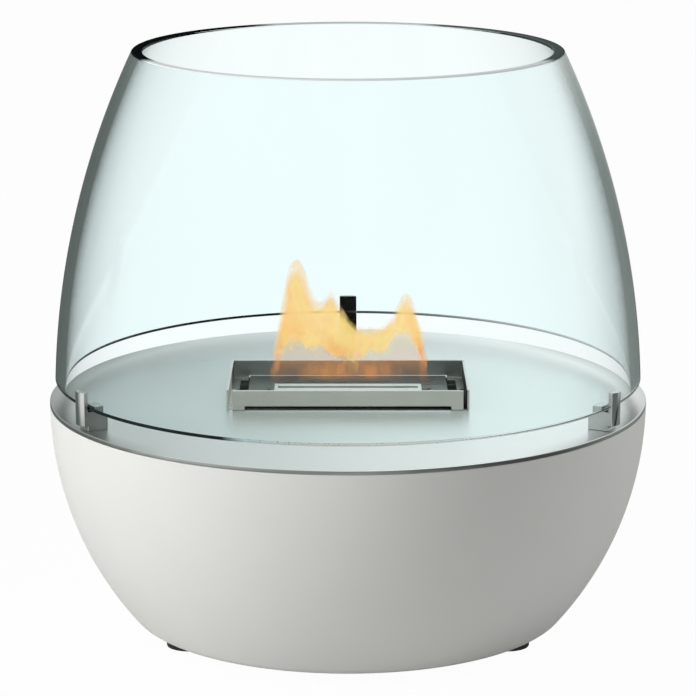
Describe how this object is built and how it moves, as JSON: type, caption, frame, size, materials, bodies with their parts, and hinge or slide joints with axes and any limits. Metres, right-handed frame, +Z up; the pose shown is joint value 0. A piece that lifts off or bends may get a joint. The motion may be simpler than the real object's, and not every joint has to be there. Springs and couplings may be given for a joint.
{
  "type": "tabletop fireplace",
  "caption": "Round tabletop fireplace: white bowl on rubber feet, steel top plate, removable slotted liquid-fuel burner with a closing slide, and a lift-off curved glass shade on steel holders.",
  "frame": {"origin": "on the table plane, under the middle of the bowl", "axes": "+Z up, -Y towards the front of the burner, +X to the right seen from the front"},
  "size_m": [0.4, 0.4012, 0.3909],
  "materials": {
    "bowl_paint": "matt warm white paint",
    "plate_steel": "fine satin stainless steel",
    "shade_glass": "clear glass with polished edges",
    "holder_steel": "satin stainless steel",
    "pad_silicone": "translucent grey silicone",
    "zinc_screws": "bright zinc",
    "sheet_steel": "mill-finish stainless sheet",
    "black_base": "black powder coat",
    "foot_rubber": "matt black rubber",
    "burner_steel": "folded satin stainless steel",
    "fibre_wool": "white ceramic fibre wool",
    "slide_steel": "satin stainless steel"
  },
  "bodies": {
    "base": {"bowl_shell": "bowl_paint", "top_plate": "plate_steel", "glass_holder_left": "holder_steel", "glass_holder_right": "holder_steel", "glass_holder_rear": "holder_steel", "seat_pad_left": "pad_silicone", "seat_pad_right": "pad_silicone", "seat_pad_rear": "pad_silicone", "holder_screws": "zinc_screws", "holder_washers": "zinc_screws", "spill_tray": "sheet_steel", "tray_studs": "zinc_screws", "tray_nuts": "zinc_screws", "base_plate": "black_base", "foot_left": "foot_rubber", "foot_right": "foot_rubber", "foot_rear": "foot_rubber", "foot_screws": "zinc_screws"},
    "glass": {"glass_shade": "shade_glass"},
    "burner": {"burner_tray": "burner_steel", "fuel_tank": "sheet_steel", "absorber_block": "fibre_wool", "absorber_screen": "sheet_steel"},
    "slider": {"slider_plate": "slide_steel", "slider_collar": "slide_steel"}
  },
  "joints": [
    {"name": "glass_lift", "type": "slide", "parent": "base", "child": "glass", "axis": [0, 0, 1], "range_m": [0, 0.12]},
    {"name": "burner_lift", "type": "slide", "parent": "base", "child": "burner", "axis": [0, 0, 1], "range_m": [0, 0.08]},
    {"name": "slide_close", "type": "slide", "parent": "burner", "child": "slider", "axis": [0, -1, 0], "range_m": [0, 0.0175]}
  ]
}
